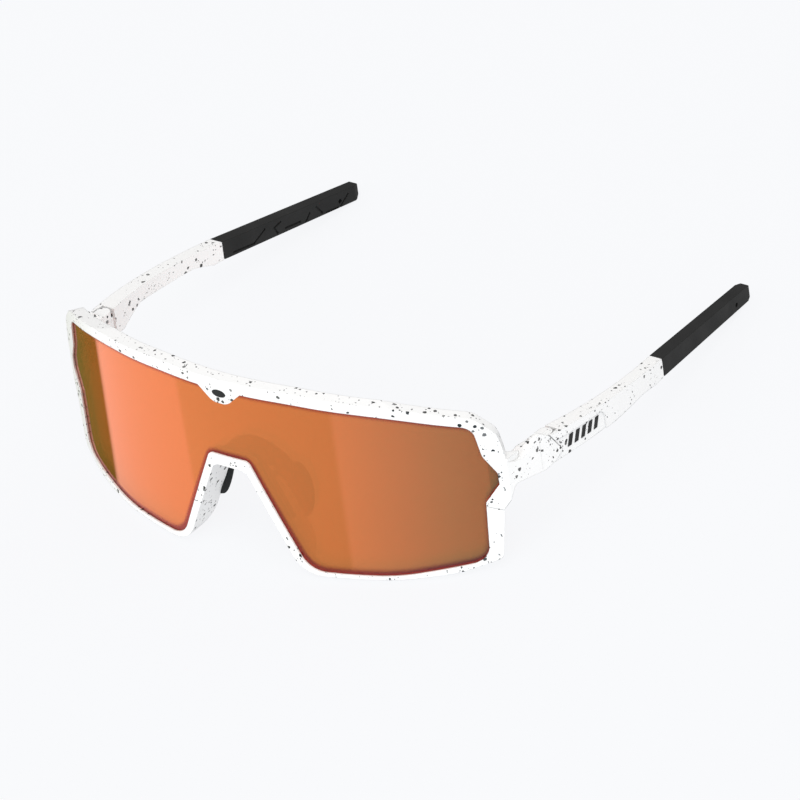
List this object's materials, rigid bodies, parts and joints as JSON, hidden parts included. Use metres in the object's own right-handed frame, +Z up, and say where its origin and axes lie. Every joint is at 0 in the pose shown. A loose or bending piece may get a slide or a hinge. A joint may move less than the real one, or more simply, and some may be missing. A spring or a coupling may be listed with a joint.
{
  "type": "wraparound sport sunglasses",
  "caption": "Wraparound sport sunglasses with a one-piece mirrored shield lens, speckled two-part frame, nose piece and folding rubber-sleeved temples.",
  "frame": {"origin": "middle of the footprint, on the surface the glasses stand on, lower rim and temple tips down", "axes": "+Z up; -Y out of the lens, the way the wearer looks; +X to the right as met from in front"},
  "size_m": [0.1464, 0.1345, 0.053],
  "materials": {
    "white_speckled": "white moulded plastic with scattered dark flecks",
    "mirror_lens": "orange mirror coating on tinted polycarbonate",
    "soft_black": "soft matt",
    "dark_plastic": "matt",
    "steel": "bright"
  },
  "bodies": {
    "front": {"upper_frame": "white_speckled", "lower_rim": "white_speckled", "lens": "mirror_lens", "nose_mark": "dark_plastic", "nose_clip": "dark_plastic", "nose_saddle": "soft_black", "nose_wire": "steel", "nose_pad_right": "soft_black", "nose_pad_left": "soft_black", "hinge_screws": "steel", "hinge_nuts": "steel"},
    "temple_right": {"temple_arm_right": "white_speckled", "temple_core_right": "steel", "temple_mark_right": "dark_plastic", "temple_sleeve_right": "soft_black", "hinge_knuckle_right": "white_speckled"},
    "temple_left": {"temple_arm_left": "white_speckled", "temple_core_left": "steel", "temple_mark_left": "dark_plastic", "temple_sleeve_left": "soft_black", "hinge_knuckle_left": "white_speckled"}
  },
  "joints": [
    {"name": "temple_right_fold", "type": "hinge", "parent": "front", "child": "temple_right", "pos_m": [0.0691, -0.02547, 0.02437], "axis": [0, 0.1521, 0.9884], "range_deg": [0, 82]},
    {"name": "temple_left_fold", "type": "hinge", "parent": "front", "child": "temple_left", "pos_m": [-0.0691, -0.02547, 0.02437], "axis": [0, -0.1521, -0.9884], "range_deg": [0, 90]}
  ]
}
